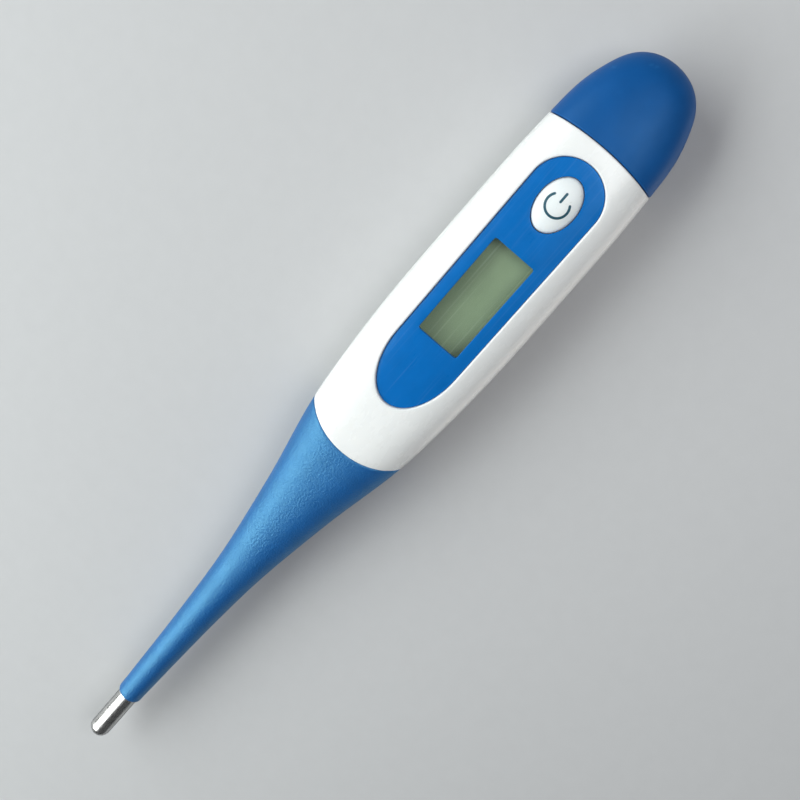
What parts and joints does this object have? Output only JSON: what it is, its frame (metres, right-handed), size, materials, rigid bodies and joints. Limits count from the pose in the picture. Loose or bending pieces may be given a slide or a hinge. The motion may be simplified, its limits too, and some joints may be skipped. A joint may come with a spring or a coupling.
{
  "type": "digital thermometer",
  "caption": "Clinical digital thermometer with a flexible rubber sleeve, metal probe tip, small display, oval power button and pull-off battery cap.",
  "frame": {"origin": "centre of the bounding box's underside, at the flat back of the body", "axes": "+X from the probe tip to the battery cap, +Z out of the display face, +Y to the left of +X"},
  "size_m": [0.1364, 0.0188, 0.0119],
  "materials": {
    "white_plastic": "gloss",
    "panel_blue": "gloss",
    "adhesive": "matte",
    "clear_window": "clear",
    "sleeve_rubber": "satin",
    "polished_steel": "polished",
    "epoxy": "gloss",
    "sensor_glass": "gloss",
    "copper": "satin",
    "button_plastic": "satin",
    "symbol_ink": "matte",
    "silicone": "matte",
    "tray_plastic": "matte",
    "board_green": "satin",
    "black_epoxy": "satin",
    "chip_ceramic": "satin",
    "display_film": "satin",
    "display_glass": "clear",
    "reflector_film": "satin",
    "zebra_rubber": "matte",
    "brass": "satin",
    "piezo_ceramic": "matte",
    "spring_metal": "brushed",
    "black_plastic": "matte",
    "cell_steel": "polished",
    "gasket_plastic": "matte",
    "cap_blue": "satin"
  },
  "bodies": {
    "body": {"main_housing": "white_plastic", "face_panel": "panel_blue", "panel_adhesive": "adhesive", "window_lens": "clear_window", "sleeve_root": "sleeve_rubber", "button_seal": "silicone", "sensor_leads": "copper"},
    "button": {"power_button": "button_plastic", "power_symbol": "symbol_ink"},
    "sleeve_rear": {"sleeve_rear_segment": "sleeve_rubber"},
    "sleeve_middle": {"sleeve_middle_segment": "sleeve_rubber"},
    "probe_tip": {"sleeve_tip_segment": "sleeve_rubber", "probe_cap": "polished_steel", "thermal_potting": "epoxy", "thermistor_bead": "sensor_glass"},
    "electronics_tray": {"carrier_tray": "tray_plastic", "circuit_board": "board_green", "controller_blob": "black_epoxy", "chip_components": "chip_ceramic", "lcd_front_polarizer": "display_film", "lcd_front_glass": "display_glass", "lcd_rear_glass": "display_glass", "lcd_reflector": "reflector_film", "zebra_connector": "zebra_rubber", "lcd_frame": "tray_plastic", "buzzer_disc": "brass", "buzzer_ceramic": "piezo_ceramic", "buzzer_contacts": "spring_metal", "switch_base": "black_plastic", "battery_can": "cell_steel", "battery_gasket": "gasket_plastic", "battery_lid": "cell_steel", "battery_positive_contact": "spring_metal", "battery_negative_contact": "spring_metal", "board_screws": "spring_metal"},
    "switch": {"switch_plunger": "black_plastic"},
    "cap": {"battery_cap": "cap_blue", "cap_seal_ring": "silicone"}
  },
  "joints": [
    {"name": "tip_bend_rear", "type": "hinge", "parent": "body", "child": "sleeve_rear", "pos_m": [-0.02, 0, 0.0057], "axis": [0, 1, 0], "range_deg": [-15, 15], "stiffness_Nm_per_rad": 0.02, "deforming": ["sensor_leads"]},
    {"name": "tip_bend_middle", "type": "hinge", "parent": "sleeve_rear", "child": "sleeve_middle", "pos_m": [-0.033, 0, 0.0057], "axis": [0, 1, 0], "range_deg": [-15, 15], "stiffness_Nm_per_rad": 0.02, "deforming": ["sensor_leads"]},
    {"name": "tip_bend_front", "type": "hinge", "parent": "sleeve_middle", "child": "probe_tip", "pos_m": [-0.046, 0, 0.0057], "axis": [0, 1, 0], "range_deg": [-15, 15], "stiffness_Nm_per_rad": 0.02, "deforming": ["sensor_leads"]},
    {"name": "button_press", "type": "slide", "parent": "body", "child": "button", "axis": [0, 0, -1], "range_m": [0, 0.00045], "stiffness_N_per_m": 1500, "deforming": ["button_seal"]},
    {"name": "tray_slide", "type": "slide", "parent": "body", "child": "electronics_tray", "axis": [1, 0, 0], "range_m": [0, 0.01], "deforming": ["sensor_leads"]},
    {"name": "switch_press", "type": "slide", "parent": "electronics_tray", "child": "switch", "axis": [0, 0, -1], "range_m": [0, 0.00027]},
    {"name": "cap_slide", "type": "slide", "parent": "electronics_tray", "child": "cap", "axis": [1, 0, 0], "range_m": [0, 0.018]}
  ],
  "couplings": [
    {"joint": "tip_bend_middle", "follows": "tip_bend_rear", "ratio": 1},
    {"joint": "tip_bend_front", "follows": "tip_bend_rear", "ratio": 1},
    {"joint": "switch_press", "follows": "button_press", "ratio": 0.6}
  ]
}
